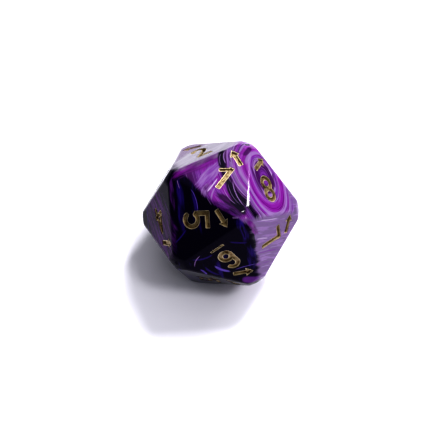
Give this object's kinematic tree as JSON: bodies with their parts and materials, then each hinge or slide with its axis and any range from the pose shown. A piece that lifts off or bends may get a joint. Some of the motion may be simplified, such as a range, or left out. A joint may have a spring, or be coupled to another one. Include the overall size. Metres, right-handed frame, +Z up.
{
  "type": "polyhedral die",
  "caption": "Icosahedral countdown die cast in swirled resin, with a painted engraved number and a next-number arrow on its faces, and rounded edges and corners.",
  "frame": {"origin": "centre of the face that the die rests on, which is the face with the highest number", "axes": "+Z up, through the centre of the lowest number's face; +Y over the corner that the number on top points at"},
  "size_m": [0.0212, 0.0234, 0.02],
  "materials": {
    "swirled_resin": "polished swirl of violet, lilac and near-black resin",
    "gold_paint": "satin metallic gold paint"
  },
  "bodies": {
    "root": {"die_body": "swirled_resin", "numeral_01": "gold_paint", "numeral_02": "gold_paint", "numeral_03": "gold_paint", "numeral_04": "gold_paint", "numeral_05": "gold_paint", "numeral_06": "gold_paint", "numeral_07": "gold_paint", "numeral_08": "gold_paint", "numeral_09": "gold_paint", "numeral_10": "gold_paint", "numeral_11": "gold_paint", "numeral_12": "gold_paint", "numeral_13": "gold_paint", "numeral_14": "gold_paint", "numeral_15": "gold_paint", "numeral_16": "gold_paint", "numeral_17": "gold_paint", "numeral_18": "gold_paint", "numeral_19": "gold_paint", "numeral_20": "gold_paint", "arrow_01": "gold_paint", "arrow_02": "gold_paint", "arrow_03": "gold_paint", "arrow_04": "gold_paint", "arrow_05": "gold_paint", "arrow_06": "gold_paint", "arrow_07": "gold_paint", "arrow_08": "gold_paint", "arrow_09": "gold_paint", "arrow_10": "gold_paint", "arrow_11": "gold_paint", "arrow_12": "gold_paint", "arrow_13": "gold_paint", "arrow_14": "gold_paint", "arrow_15": "gold_paint", "arrow_16": "gold_paint", "arrow_17": "gold_paint", "arrow_18": "gold_paint", "arrow_19": "gold_paint"}
  },
  "joints": []
}
